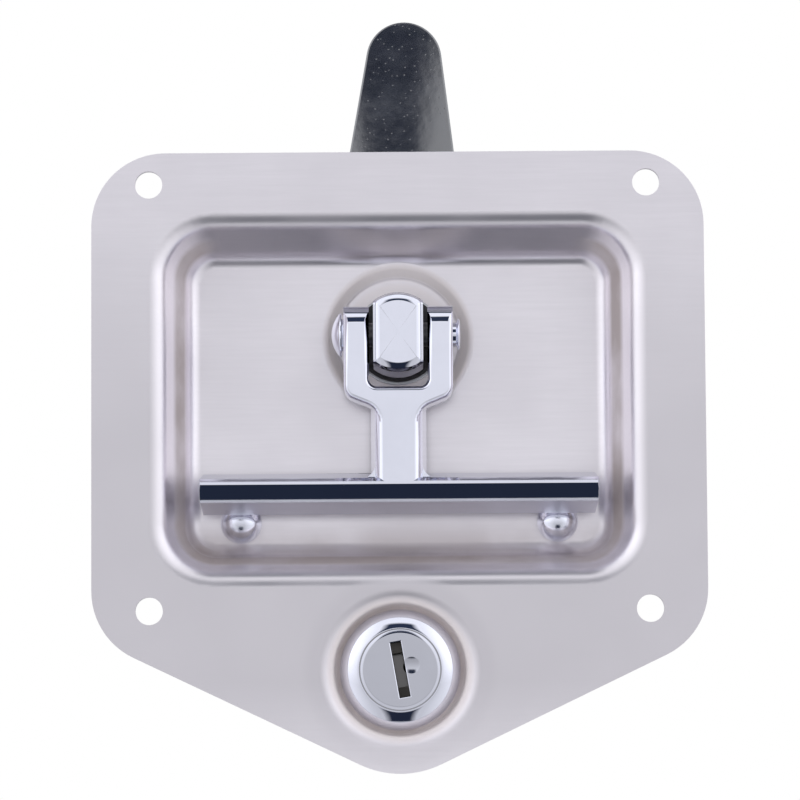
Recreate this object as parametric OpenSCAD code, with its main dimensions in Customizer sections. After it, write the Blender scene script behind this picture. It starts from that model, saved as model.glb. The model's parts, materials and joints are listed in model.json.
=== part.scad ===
// Flush folding T-handle latch with a key lock, for a trailer door or a tool box lid.
// Millimetres. Origin at the centre of the four mounting holes, on the back face of the flange.
// +Z is up, +X is to the right seen from the front, and +Y points through the door.

/* [Flange] */
// Thickness of the pressed sheet
sheet_t = 1.5; // [1.2:0.1:1.7]
// Width of the flange
flange_w = 125; // [121:1:140]
// Height of the top edge above the middle of the mounting holes
flange_top = 50; // [48.5:0.5:58]
// Drop of the lower tip below the middle of the mounting holes
flange_drop = 76.6; // [75:0.2:86]
// Radius of the four side corners
flange_corner_r = 15; // [10:0.5:17]
// Radius of the lower tip
flange_tip_r = 19; // [12:0.5:24]
// Slope of the two lower edges
flange_slope = 25.5; // [22:0.5:27]

/* [Mounting holes] */
// Spacing of the mounting holes across
hole_dx = 101.6; // [99:0.1:106]
// Spacing of the mounting holes up and down
hole_dz = 87; // [84:0.5:90]
// Diameter of the mounting holes
hole_d = 5.6; // [4.5:0.1:6.5]

/* [Handle dish] */
// Width of the dish where its lip leaves the flange
dish_w = 102; // [98:0.5:104]
// Height of the dish's top edge above the middle of the mounting holes
dish_top = 38.1; // [36:0.1:39]
// Drop of the dish's lower edge below the middle of the mounting holes
dish_drop = 39; // [38:0.1:39]
// Depth from the front of the flange to the floor
dish_depth = 17; // [16:0.1:20]
// Corner radius of the dish at its lip
dish_corner_r = 13.4; // [12.5:0.1:15]
// Radius of the rounded lip
dish_lip_r = 4; // [3:0.1:4.5]
// Radius between wall and floor
dish_floor_r = 3; // [2:0.1:3.4]
// Draft of the dish walls
dish_draft = 16; // [12:0.5:17]

/* [Spindle recess] */
// Height of the spindle above the middle of the mounting holes
spindle_z = 13.3; // [12.4:0.1:13.5]
// Diameter of the round recess about the spindle
recess_d = 32; // [30:0.1:32]
// Depth of the recess below the floor
recess_depth = 3; // [2.4:0.1:3.6]
// Radius of the recess lip
recess_lip_r = 1.8; // [1.75:0.05:2.2]
// Radius between the recess wall and its floor
recess_floor_r = 1.2; // [0.8:0.1:1.4]
// Draft of the recess wall
recess_draft = 34; // [25:1:36]

/* [Lock well] */
// Drop of the lock below the middle of the mounting holes
lock_drop = 55.6; // [55.6:0.1:57]
// Diameter of the round lock well at its lip
well_d = 33; // [32.4:0.1:33.1]
// Depth of the lock well
well_depth = 5.1; // [4.5:0.1:6]
// Radius of the well's rounded lip
well_lip_r = 3; // [2.4:0.1:3.2]
// Radius between the well's wall and its floor
well_floor_r = 1; // [0.6:0.1:1.1]
// Draft of the well's wall
well_draft = 8; // [5:1:10]

/* [Spindle] */
// Diameter of the hub
hub_d = 16.4; // [15.6:0.1:16.6]
// Width of the hub across its two flats
hub_flat = 10.2; // [9.8:0.1:10.6]
// Length of the hub from its front to the seal
hub_len = 15.3; // [15.2:0.1:15.6]
// Bevel round the front of the hub
hub_bevel = 1.1; // [0.8:0.1:1.3]
// Diameter of the spindle in the bush
shank_d = 11; // [10:0.1:11.5]
// Side of the square that drives the cam
drive_square = 8; // [7.6:0.1:8.3]
// Diameter of the spindle's thread
thread_d = 7.6; // [7:0.1:7.8]
// Thread standing out behind the cam nut
thread_proud = 2; // [1:0.1:4]

/* [Bush and seal] */
// Diameter of the bush flange
bush_flange_d = 19; // [17.5:0.1:20.5]
// Thickness of the bush flange
bush_flange_t = 1.2; // [1:0.1:1.5]
// Outer diameter of the bush barrel
bush_d = 14.2; // [13.6:0.1:15]
// Room between the hub and the bush for the seal
seal_room = 2; // [1.8:0.1:2.3]
// Thickness of the seal ring
seal_d = 1.7; // [1.4:0.1:1.7]
// Outer diameter of the seal ring
seal_outer_d = 18; // [17:0.1:18.4]
// Width of the bush nut across its flats
bush_nut_af = 20; // [18.5:0.5:22]
// Thickness of the bush nut
bush_nut_t = 4; // [3:0.1:5]

/* [Cam stack] */
// Thickness of the thrust washer
thrust_t = 1; // [0.8:0.1:1.5]
// Outer diameter of the thrust washer
thrust_d = 20; // [17:0.5:24]
// Height of the conical spring washer
spring_h = 1.2; // [1:0.1:1.6]
// Thickness of the conical spring washer
spring_t = 0.7; // [0.5:0.1:0.9]
// Width of the lock plate, and twice its height above the spindle
plate_side = 26; // [24:0.5:28]
// Drop of the lock plate's lower edge below the spindle
plate_drop = 30; // [26:0.5:32]
// Thickness of the lock plate
plate_t = 3; // [2.5:0.1:4]
// Thickness of the cam
cam_t = 4.5; // [3:0.1:6]
// Radius of the cam about the spindle
cam_base_r = 17; // [15:0.5:18]
// Radius of the cam's tip
cam_tip_r = 8; // [6:0.5:10]
// Reach of the cam from the spindle to its tip
cam_reach = 69.1; // [60:0.1:80]
// Lean of the cam to the right, out of line with its square hole
cam_lean = 1.5; // [0:0.1:3]
// Thickness of the cam's lock washer
cam_washer_t = 1.6; // [1.2:0.1:2]
// Outer diameter of the cam's lock washer
cam_washer_d = 15; // [13:0.5:18]
// Width of the cam nut across its flats
cam_nut_af = 13; // [12:0.5:15]
// Thickness of the cam nut
cam_nut_t = 6.5; // [5:0.1:8]

/* [T-handle] */
// Distance of the pivot pin behind the front of the hub
pin_setback = 7.5; // [7:0.1:7.8]
// Width of the fork over its prongs
fork_w = 22.3; // [21.5:0.1:23]
// Width of the slot between the prongs
fork_slot_w = 12; // [11.6:0.1:12.4]
// Length of the prongs above the pin
prong_top = 5.5; // [5.2:0.05:5.8]
// Depth of the prongs from front to back
prong_depth = 12; // [11:0.1:12.4]
// Radius of the prongs' front upper edge
prong_front_r = 3.8; // [3:0.1:4]
// Radius of the prongs' back upper edge
prong_back_r = 4; // [3:0.1:5]
// Drop below the pin where the thicker fork begins at the back
heel_low = 13; // [12:0.1:14]
// Drop below the pin where the fork reaches its full depth
heel_high = 8; // [7:0.1:9]
// Depth of the slot below the pin
slot_drop = 11.2; // [11.2:0.1:11.4]
// Radius of the slot's lower corners
slot_r = 1.6; // [1:0.1:2]
// Drop of the fork's shoulders below the pin
shoulder_drop = 12.9; // [12.6:0.1:13.2]
// Drop of the point where the shoulders reach the stem
waist_drop = 15.8; // [15.5:0.1:16.2]
// Radius of the shoulders
shoulder_r = 2.8; // [2:0.1:3.2]
// Radius where the shoulders run into the stem
waist_r = 4; // [3:0.1:4.2]
// Width of the stem behind its bevelled front edges
stem_w = 7.9; // [7.4:0.1:8.6]
// Width of the stem at its back
stem_back_w = 11.4; // [10.5:0.1:12]
// Bevel along the stem's flanks
stem_bevel = 1.75; // [1.3:0.05:2]
// Bevel along the front edges of fork and stem
handle_bevel = 0.9; // [0.6:0.1:1.2]
// Drop of the grip bar's middle below the pin
bar_drop = 32.6; // [31.8:0.1:32.9]
// Length of the grip bar at its front
bar_len = 81.4; // [76:0.2:82]
// Inward slope of the bar's ends, from front to back
bar_end_taper = 1.3; // [1.2:0.1:2]
// Height of the bar at its back
bar_h = 8.4; // [8.1:0.05:8.6]
// Height of the narrow front strip's lower edge above the bar's middle
bar_strip_z = 1.43; // [1.2:0.01:1.6]
// Depth of the bar from front to back
bar_depth = 9.7; // [9:0.1:9.8]
// Width of the narrow strip along the bar's front
bar_strip = 0.6; // [0.4:0.1:0.8]
// Height of the bar's sloping front facet
bar_facet = 2.65; // [2.4:0.05:2.8]
// Setback of the sloping facet at its lower edge
bar_facet_back = 1.2; // [1:0.1:1.4]
// Height of the narrow bevels above and below
bar_bevel = 0.9; // [0.6:0.1:1]
// Radius of the stem's foot on the bar
foot_r = 3; // [2:0.1:3.4]

/* [Pivot pin] */
// Diameter of the pin
pin_d = 5; // [4.5:0.1:5.5]
// Diameter of the pin's head
pin_head_d = 9.1; // [8:0.1:9.4]
// Height of the pin's domed head
pin_head_h = 1.75; // [1.2:0.05:2]
// Thickness of the rim under the dome
pin_rim = 0.4; // [0.3:0.1:0.6]
// Diameter of the neck between head and fork
pin_neck_d = 6.6; // [6:0.1:7]
// Height of the neck between head and fork
pin_neck = 0.45; // [0.3:0.05:0.6]
// Diameter of the pin's flared end
pin_end_d = 6.6; // [6:0.1:7]
// Length of the pin beyond the fork at its flared end
pin_end_h = 1.55; // [1.2:0.05:1.8]

/* [Rest studs] */
// Distance between the two rest studs
stud_dx = 65.4; // [60:0.2:66]
// Drop of the studs below the middle of the mounting holes
stud_drop = 25; // [24.4:0.1:25.2]
// Diameter of the studs' heads
stud_d = 8.5; // [7:0.1:8.6]
// Height of the dome on each head
stud_dome = 3.9; // [3:0.1:4]
// Diameter of the studs' shanks
stud_shank_d = 4; // [3:0.1:5]
// Diameter of the riveted tails behind the floor
stud_tail_d = 6; // [5.5:0.1:7]
// Height of the riveted tails
stud_tail_h = 1.4; // [1:0.1:2]

/* [Lock] */
// Diameter of the lock's bezel
bezel_d = 24.6; // [24:0.1:24.7]
// Radius of the bezel's rounded front
bezel_round = 3.4; // [3:0.1:3.6]
// Height of the bezel's straight rim
bezel_rim = 0.7; // [0.4:0.1:1]
// Diameter of the lock's threaded barrel
barrel_d = 19; // [18:0.1:19.4]
// Width of the barrel across its two flats
barrel_flat = 16.6; // [16:0.1:17]
// Diameter of the plug's face
face_d = 16.2; // [15.6:0.1:16.4]
// Thickness of the plug's face
face_t = 3.1; // [2.6:0.1:3.4]
// Bevel round the plug's face
face_bevel = 1; // [0.6:0.1:1.2]
// Diameter of the plug in the barrel
plug_d = 13; // [12.4:0.1:13.4]
// Width of the key slot
slot_w = 2.1; // [1.8:0.1:2.6]
// Length of the key slot
slot_len = 11.2; // [10:0.1:11.6]
// Tilt of the key slot at rest
slot_tilt = 9.8; // [0:0.1:15]
// Outer diameter of the lock washer
lock_washer_d = 26; // [24.5:0.5:28]
// Thickness of the lock washer
lock_washer_t = 0.8; // [0.6:0.1:1.2]
// Width of the lock nut across its flats
lock_nut_af = 24; // [22.5:0.5:25]
// Thickness of the lock nut
lock_nut_t = 4; // [3:0.1:6]
// Thickness of the clip that holds the plug
clip_t = 1; // [0.8:0.1:1.2]
// Outer diameter of the clip
clip_d = 16.4; // [15.6:0.1:17]

/* [Wafers] */
// Thickness of the wafers
wafer_t = 0.9; // [0.7:0.1:1.1]
// Width of the wafers
wafer_w = 6.4; // [6:0.1:7]
// Pitch of the wafers along the plug
wafer_pitch = 2.6; // [2.4:0.1:2.8]
// Height of the key window in a wafer
window_h = 7; // [6:0.1:8]
// Diameter of the wafer springs
wafer_spring_d = 1.4; // [1.2:0.1:1.5]
// Wire of the wafer springs
wafer_wire = 0.3; // [0.2:0.05:0.35]

/* [Lock tail] */
// Thickness of the tail
tail_t = 2; // [1.5:0.1:2.2]
// Width of the tail at the plug
tail_w = 13; // [12.5:0.5:14]
// Width of the tail at its tip
tail_tip_w = 9; // [7:0.5:10]
// Size of the plug's square end that turns the tail
tail_square = 7; // [6.5:0.1:7.4]
// Diameter of the tail screw
screw_d = 4; // [3.5:0.1:4.6]
// Diameter of the tail screw's head
screw_head_d = 8; // [7:0.1:9]
// Height of the tail screw's head
screw_head_h = 3; // [2.2:0.1:3.6]
// Thickness of the washer under the screw
tail_washer_t = 1; // [0.8:0.1:1.4]
// Outer diameter of the washer under the screw
tail_washer_d = 12; // [11:0.5:15]

/* [Clearances] */
// Radial running clearance of pin, spindle and plug
run_fit = 0.05; // [0.03:0.01:0.08]
// Clearance of pieces that are assembled and clamped
slip_fit = 0.1; // [0.06:0.02:0.16]
// Gap round faces that turn without touching
free_gap = 0.3; // [0.25:0.05:0.35]
// End play between turning and fixed faces
end_play = 0.1; // [0.05:0.05:0.2]
// Gap between the folded bar and the rest studs
rest_gap = 0.3; // [0.2:0.05:0.4]
// Gap between the lock plate and the raised tail
block_gap = 0.8; // [0.5:0.1:1]

/* [Hidden] */
$fn = 64;

// Depths along the door's thickness, front to back
flange_front = -sheet_t;
floor_front = flange_front + dish_depth;
floor_back = floor_front + sheet_t;
recess_front = floor_front + recess_depth;
recess_back = recess_front + sheet_t;
bush_front = recess_front - bush_flange_t;
hub_back = bush_front - seal_room;
hub_front = hub_back - hub_len;
pin_depth = hub_front + pin_setback;
bush_end = recess_back + bush_nut_t;
thrust_front = bush_end + end_play;
spring_front = thrust_front + thrust_t;
plate_front = spring_front + spring_h;
cam_front = plate_front + plate_t;
cam_back = cam_front + cam_t;
nut_front = cam_back + cam_washer_t;
nut_back = nut_front + cam_nut_t;
well_front = flange_front + well_depth;
well_back = well_front + sheet_t;
bezel_front = well_front - bezel_rim - bezel_round;
tail_front = plate_front + (plate_t - tail_t) / 2;
tail_back = tail_front + tail_t;
tail_shoulder_t = 1.2;
clip_back = tail_front - tail_shoulder_t;
barrel_end = clip_back - clip_t - end_play;
bar_back = hub_front + bar_depth;

// Other derived sizes
dish_h = dish_top + dish_drop;
dish_mid = (dish_top - dish_drop) / 2;
stud_h = floor_front - bar_back - rest_gap;
plug_bore_d = plug_d + 2 * run_fit;
face_bore_d = face_d + 2 * free_gap;
square_trim_d = shank_d - 2 * run_fit;
drive_hole = drive_square + slip_fit;
tail_reach = lock_drop + spindle_z - plate_drop - block_gap;
wafer_first = bezel_front + face_t + 1.6;
wafer_count = 5;
wafer_h = 2 * sqrt(pow(plug_d / 2 - slip_fit, 2) - pow(wafer_w / 2, 2));
slot_end = wafer_first + wafer_count * wafer_pitch;
spring_x = wafer_w / 2 - wafer_spring_d / 2 - 0.3;
wafer_spring_h = 3.2;
cut = 1;
flat_turn = 10;

steel = "#cfccd2";
chrome = "#d6d9e4";
black = "#1b1c20";
zinc = "#b9bcc0";
brass = "#b89b5e";

// Frame helpers: drawn with X right, Y up and Z into the door
module facing() {
    mirror([0, 1, -1]) children();
}
module at_spindle(depth) {
    translate([0, spindle_z, depth]) children();
}
module at_lock(depth) {
    translate([0, -lock_drop, depth]) children();
}
// Draws [depth, height] outlines as a prism across the latch
module across(width) {
    rotate([0, -90, 0]) linear_extrude(width, center = true) children();
}
// Draws [x, depth] outlines as a prism that hangs down from y = 0
module downward(height) {
    rotate([90, 0, 0]) linear_extrude(height) children();
}

// Rounded outlines: corners are [x, y, radius], listed anticlockwise, and a negative radius marks
// a point that only guides the direction of the arc next to it
function at(c) = [c[0], c[1]];
function unit(v) = v / norm(v);
function left_of(v) = [-v[1], v[0]];
function prev_dir(cs, i) = unit(at(cs[i]) - at(cs[(i + len(cs) - 1) % len(cs)]));
function next_dir(cs, i) = unit(at(cs[(i + 1) % len(cs)]) - at(cs[i]));
function turn(cs, i) = acos(prev_dir(cs, i) * next_dir(cs, i));
function is_convex(cs, i) = cross(prev_dir(cs, i), next_dir(cs, i)) > 0;
function cut_back(cs, i) = cs[i][2] * tan(turn(cs, i) / 2);
function arc_in(cs, i) = at(cs[i]) - prev_dir(cs, i) * cut_back(cs, i);
function arc_out(cs, i) = at(cs[i]) + next_dir(cs, i) * cut_back(cs, i);
function arc_centre(cs, i) = arc_in(cs, i)
    + left_of(prev_dir(cs, i)) * cs[i][2] * (is_convex(cs, i) ? 1 : -1);
function path_points(cs) = [
    for (i = [0:len(cs) - 1])
        each cs[i][2] > 0 ? [arc_in(cs, i), arc_out(cs, i)] : cs[i][2] < 0 ? [] : [at(cs[i])]
];

module corner_fill(cs, i) {
    intersection() {
        translate(arc_centre(cs, i)) circle(r = cs[i][2]);
        polygon([arc_in(cs, i), at(cs[i]), arc_out(cs, i)]);
    }
}
module rounded_outline(cs) {
    difference() {
        union() {
            polygon(path_points(cs));
            for (i = [0:len(cs) - 1])
                if (cs[i][2] > 0 && is_convex(cs, i)) corner_fill(cs, i);
        }
        for (i = [0:len(cs) - 1])
            if (cs[i][2] > 0 && !is_convex(cs, i)) corner_fill(cs, i);
    }
}
// The same outline with its arcs as short flats, as a ground casting pattern has them
function turned(v, a) = [v[0] * cos(a) - v[1] * sin(a), v[0] * sin(a) + v[1] * cos(a)];
function arc_points(cs, i) = let (
    flats = ceil(turn(cs, i) / flat_turn),
    sweep = turn(cs, i) * (is_convex(cs, i) ? 1 : -1),
    centre = arc_centre(cs, i)
) [for (k = [0:flats]) centre + turned(arc_in(cs, i) - centre, sweep * k / flats)];
function flat_points(cs) = [
    for (i = [0:len(cs) - 1]) each cs[i][2] > 0 ? arc_points(cs, i) : [at(cs[i])]
];
// Cutters that bevel the front edge of an outline of flats
module edge_bevel(points, bevel) {
    over = 0.3;
    lap = bevel * tan(flat_turn / 2) + 0.015;
    for (i = [0:len(points) - 1]) {
        run = points[(i + 1) % len(points)] - points[i];
        translate(points[i] - lap * unit(run)) rotate(atan2(run[1], run[0])) rotate([90, 0, 90])
            linear_extrude(norm(run) + 2 * lap)
            polygon([[-over, -over], [bevel + over, -over], [-over, bevel + over]]);
    }
}

// Section of a drawn wall: lip, drafted wall and floor fillet, u inwards and v deeper
function lean(draft) = tan(45 - draft / 2);
function wall_corners(depth, lip, fillet, draft, reach) = let (
    high = lip * lean(draft),
    low = high + depth * tan(draft),
    back = sheet_t * lean(draft)
) [
    [0, 0, -1],
    [high, 0, lip],
    [low, depth, fillet],
    [reach, depth, 0],
    [reach, depth + sheet_t, 0],
    [low - back, depth + sheet_t, fillet + sheet_t],
    [high - back, sheet_t, lip - sheet_t],
    [0, sheet_t, -1]
];
// A drawn round pocket below the plane z = 0, with its floor left open at the centre
module round_pocket(d, depth, lip, fillet, draft) {
    eye = 3;
    rotate_extrude() translate([d / 2, 0]) mirror([1, 0])
        rounded_outline(wall_corners(depth, lip, fillet, draft, d / 2 - eye));
}
// A drawn rectangular pocket below the plane z = 0, with its floor
module square_pocket(w, h, corner, depth, lip, fillet, draft) {
    lap = 1;
    for (k = [0:3]) {
        half_u = (k % 2 == 0 ? w : h) / 2;
        half_v = (k % 2 == 0 ? h : w) / 2;
        rotate(90 * k) translate([-half_u, half_v - corner]) downward(2 * (half_v - corner))
            rounded_outline(wall_corners(depth, lip, fillet, draft, corner));
        rotate(90 * k) translate([half_u - corner, half_v - corner]) rotate_extrude(angle = 90)
            translate([corner, 0]) mirror([1, 0])
            rounded_outline(wall_corners(depth, lip, fillet, draft, corner - lap / 2));
    }
    translate([corner - lap - w / 2, corner - lap - h / 2, depth])
        cube([w - 2 * corner + 2 * lap, h - 2 * corner + 2 * lap, sheet_t]);
}
function box_corners(w, h, r) = [
    [-w / 2, -h / 2, r], [w / 2, -h / 2, r], [w / 2, h / 2, r], [-w / 2, h / 2, r]
];

// Flange outline: the lower edges run at their slope from the tip to the sides
function slope_corner() = let (half_tip = flange_tip_r * (1 / cos(flange_slope) - 1))
    flange_w / 2 * tan(flange_slope) - flange_drop - half_tip;
function flange_corners() = [
    [0, -flange_drop - flange_tip_r * (1 / cos(flange_slope) - 1), flange_tip_r],
    [flange_w / 2, slope_corner(), flange_corner_r],
    [flange_w / 2, flange_top, flange_corner_r],
    [-flange_w / 2, flange_top, flange_corner_r],
    [-flange_w / 2, slope_corner(), flange_corner_r]
];
module at_mounting_holes() {
    for (x = [-1, 1], y = [-1, 1]) translate([x * hole_dx / 2, y * hole_dz / 2]) children();
}
module at_studs() {
    for (x = [-1, 1]) translate([x * stud_dx / 2, -stud_drop]) children();
}
module flange_sheet() {
    translate([0, 0, flange_front]) linear_extrude(sheet_t) difference() {
        rounded_outline(flange_corners());
        translate([0, dish_mid]) rounded_outline(box_corners(dish_w, dish_h, dish_corner_r));
        translate([0, -lock_drop]) circle(d = well_d);
    }
}
module dish() {
    color(steel) facing() difference() {
        union() {
            flange_sheet();
            translate([0, dish_mid, flange_front]) difference() {
                square_pocket(dish_w, dish_h, dish_corner_r, dish_depth,
                    dish_lip_r, dish_floor_r, dish_draft);
                translate([0, spindle_z - dish_mid, dish_depth - cut])
                    cylinder(d = recess_d, h = sheet_t + 2 * cut);
            }
            at_spindle(floor_front)
                round_pocket(recess_d, recess_depth, recess_lip_r, recess_floor_r, recess_draft);
            at_lock(flange_front) round_pocket(well_d, well_depth, well_lip_r, well_floor_r, well_draft);
        }
        translate([0, 0, flange_front - cut]) at_mounting_holes()
            cylinder(d = hole_d, h = sheet_t + 2 * cut);
        translate([0, 0, floor_front - cut]) at_studs()
            cylinder(d = stud_shank_d + slip_fit, h = sheet_t + 2 * cut);
        at_spindle(recess_front - cut) cylinder(d = bush_d + 2 * slip_fit, h = sheet_t + 2 * cut);
        at_lock(well_front - cut) linear_extrude(sheet_t + 2 * cut)
            flatted_circle(barrel_d + 2 * slip_fit, barrel_flat + 2 * slip_fit);
    }
}
// A circle with two flats, left and right
module flatted_circle(d, flat) {
    intersection() {
        circle(d = d);
        square([flat, 2 * d], center = true);
    }
}
module ring(d_out, d_in, h) {
    difference() {
        cylinder(d = d_out, h = h);
        translate([0, 0, -cut]) cylinder(d = d_in, h = h + 2 * cut);
    }
}
module hex_nut(af, bore, h) {
    corner_d = af / cos(30);
    difference() {
        intersection() {
            cylinder(d = corner_d, h = h, $fn = 6);
            rotate_extrude() polygon([
                [0, 0], [af / 2 - 0.2, 0], [corner_d / 2, 0.9],
                [corner_d / 2, h - 0.9], [af / 2 - 0.2, h], [0, h]
            ]);
        }
        translate([0, 0, -cut]) cylinder(d = bore, h = h + 2 * cut);
    }
}
// A dome of the given base diameter and height, standing on z = 0 towards -z
module dome(d, h) {
    r = (d * d / 4 + h * h) / (2 * h);
    intersection() {
        translate([0, 0, r - h]) sphere(r = r);
        translate([0, 0, -h]) cylinder(d = d, h = h);
    }
}

module rest_studs() {
    color(chrome) facing() at_studs() {
        translate([0, 0, floor_front]) mirror([0, 0, 1]) cylinder(d = stud_d, h = stud_h - stud_dome);
        translate([0, 0, floor_front - stud_h + stud_dome]) dome(stud_d, stud_dome);
        translate([0, 0, floor_front]) cylinder(d = stud_shank_d, h = sheet_t);
        translate([0, 0, floor_back]) mirror([0, 0, 1]) dome(stud_tail_d, stud_tail_h);
    }
}
module spindle_bush() {
    color(zinc) facing() difference() {
        union() {
            at_spindle(bush_front) cylinder(d = bush_flange_d, h = bush_flange_t);
            at_spindle(recess_front) cylinder(d = bush_d, h = bush_end - recess_front);
        }
        at_spindle(bush_front - cut)
            cylinder(d = shank_d + 2 * run_fit, h = bush_end - bush_front + 2 * cut);
    }
}
module bush_nut() {
    color(zinc) facing() at_spindle(recess_back) hex_nut(bush_nut_af, bush_d + slip_fit, bush_nut_t);
}
module spindle() {
    color(chrome) facing() difference() {
        union() {
            at_spindle(hub_front) intersection() {
                linear_extrude(hub_len) flatted_circle(hub_d, hub_flat);
                rotate_extrude() polygon([
                    [0, 0], [hub_d / 2 - hub_bevel, 0], [hub_d / 2, hub_bevel],
                    [hub_d / 2, hub_len], [0, hub_len]
                ]);
                downward_wedge();
            }
            at_spindle(hub_back) cylinder(d = shank_d, h = spring_front - hub_back);
            at_spindle(spring_front) linear_extrude(cam_back - 0.5 - spring_front) intersection() {
                square(drive_square, center = true);
                circle(d = square_trim_d);
            }
            at_spindle(cam_back - 0.5) cylinder(d = thread_d, h = nut_back + thread_proud - cam_back + 0.5);
        }
        at_spindle(pin_depth) rotate([0, 90, 0])
            cylinder(d = pin_d + 2 * run_fit, h = 2 * hub_d, center = true);
    }
}
// Bevels the front edges of the hub's two flats
module downward_wedge() {
    half = hub_flat / 2;
    small = hub_bevel / 2;
    translate([0, hub_d, 0]) downward(2 * hub_d) polygon([
        [-half + small, 0], [half - small, 0], [half, small],
        [half, hub_len], [-half, hub_len], [-half, small]
    ]);
}
module spindle_seal() {
    inner = shank_d / 2 + run_fit;
    round_x = seal_outer_d / 2 - seal_d / 2;
    color(black) facing() at_spindle(hub_back) rotate_extrude() {
        translate([inner, 0]) square([round_x - inner, seal_d]);
        intersection() {
            translate([round_x, seal_d / 2]) circle(d = seal_d);
            translate([round_x, 0]) square(seal_d);
        }
    }
}
module thrust_washer() {
    color(brass) facing() at_spindle(thrust_front) ring(thrust_d, shank_d + 2 * slip_fit, thrust_t);
}
module spring_washer() {
    inner = shank_d / 2 + slip_fit;
    outer = thrust_d / 2 - 0.5;
    color(zinc) facing() at_spindle(spring_front) rotate_extrude() polygon([
        [outer, 0], [outer, spring_t], [inner, spring_h], [inner, spring_h - spring_t]
    ]);
}
module drive_plate(t) {
    difference() {
        linear_extrude(t) children();
        translate([0, 0, t / 2]) cube([drive_hole, drive_hole, t + 2 * cut], center = true);
    }
}
module lock_plate() {
    corner = 1.5;
    color(zinc) facing() at_spindle(plate_front) drive_plate(plate_t)
        translate([0, plate_side / 4 - plate_drop / 2])
        rounded_outline(box_corners(plate_side, plate_drop + plate_side / 2, corner));
}
module cam_outline() {
    tip_y = cam_reach - cam_tip_r;
    lean = asin((cam_base_r - cam_tip_r) / tip_y);
    side = [cos(lean), sin(lean)];
    circle(r = cam_base_r);
    translate([0, tip_y]) circle(r = cam_tip_r);
    polygon([
        cam_base_r * side, [0, tip_y] + cam_tip_r * side,
        [-cam_tip_r * side[0], tip_y + cam_tip_r * side[1]], [-cam_base_r * side[0], cam_base_r * side[1]]
    ]);
}
module cam() {
    color(black) facing() at_spindle(cam_front) drive_plate(cam_t) rotate(-cam_lean) cam_outline();
}
module cam_washer() {
    color(zinc) facing() at_spindle(cam_back) ring(cam_washer_d, thread_d + 2 * slip_fit, cam_washer_t);
}
module cam_nut() {
    color(zinc) facing() at_spindle(nut_front) hex_nut(cam_nut_af, thread_d + slip_fit, cam_nut_t);
}

// T-handle: outline of fork, shoulders and stem, with the pin at the origin
function handle_corners() = let (stem_low = -bar_drop + bar_strip_z - handle_bevel) [
    [-stem_w / 2, stem_low, 0],
    [stem_w / 2, stem_low, 0],
    [stem_w / 2, -waist_drop, waist_r],
    [fork_w / 2, -shoulder_drop, shoulder_r],
    [fork_w / 2, prong_top, 0],
    [fork_slot_w / 2, prong_top, 0],
    [fork_slot_w / 2, -slot_drop, slot_r],
    [-fork_slot_w / 2, -slot_drop, slot_r],
    [-fork_slot_w / 2, prong_top, 0],
    [-fork_w / 2, prong_top, 0],
    [-fork_w / 2, -shoulder_drop, shoulder_r],
    [-stem_w / 2, -waist_drop, waist_r]
];
// Side view of the fork and stem, [depth, height]
function handle_side() = [
    [0, -bar_drop, 0],
    [bar_depth, -bar_drop, 0],
    [bar_depth, -heel_low, 2],
    [prong_depth, -heel_high, 3],
    [prong_depth, prong_top, prong_back_r],
    [0, prong_top, prong_front_r]
];
// Section of the grip bar, [depth, height], with its middle at height 0
function bar_section() = let (
    strip_top = bar_strip_z + bar_strip,
    facet_low = bar_strip_z - bar_facet
) [
    [0, bar_strip_z],
    [bar_facet_back, facet_low],
    [bar_facet_back + 0.9 * bar_bevel, facet_low - bar_bevel],
    [bar_depth, -bar_h / 2],
    [bar_depth, bar_h / 2],
    [bar_bevel, strip_top + 0.8 * bar_bevel],
    [0, strip_top]
];
module grip_bar() {
    half = bar_len / 2;
    nose = 0.5;
    intersection() {
        across(bar_len) polygon(bar_section());
        translate([0, bar_h, 0]) downward(2 * bar_h) polygon([
            [-half + nose, 0], [half - nose, 0], [half, nose], [half - bar_end_taper, bar_depth],
            [-half + bar_end_taper, bar_depth], [-half, nose]
        ]);
    }
}
// Half width of the stem behind the bevels of its flanks
function stem_side() = stem_w / 2 - handle_bevel + stem_bevel;
// Rounded foot where the stem's flank meets the top of the bar
module foot_fillet() {
    front = 2.5;
    inside = 1;
    bar_top = bar_strip_z + bar_strip + 0.8 * bar_bevel;
    translate([stem_side(), bar_top - bar_drop, front]) linear_extrude(bar_depth - front) difference() {
        translate([-inside, -inside]) square(foot_r + inside);
        translate([foot_r, foot_r]) circle(r = foot_r);
    }
}
module t_handle() {
    tuck = 1;
    color(chrome) facing() at_spindle(hub_front) difference() {
        union() {
            difference() {
                intersection() {
                    linear_extrude(prong_depth) polygon(flat_points(handle_corners()));
                    across(2 * fork_w) rounded_outline(handle_side());
                }
                edge_bevel(flat_points(handle_corners()), handle_bevel);
            }
            translate([0, -waist_drop + waist_r, 0]) downward(bar_drop - waist_drop + waist_r - tuck)
                polygon([
                    [-stem_w / 2, handle_bevel], [stem_w / 2, handle_bevel], [stem_side(), stem_bevel],
                    [stem_back_w / 2, bar_depth], [-stem_back_w / 2, bar_depth], [-stem_side(), stem_bevel]
                ]);
            translate([0, -bar_drop, 0]) grip_bar();
            foot_fillet();
            mirror([1, 0, 0]) foot_fillet();
        }
        translate([0, 0, pin_setback]) rotate([0, 90, 0])
            cylinder(d = pin_d + slip_fit / 2, h = 2 * fork_w, center = true);
    }
}
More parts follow.
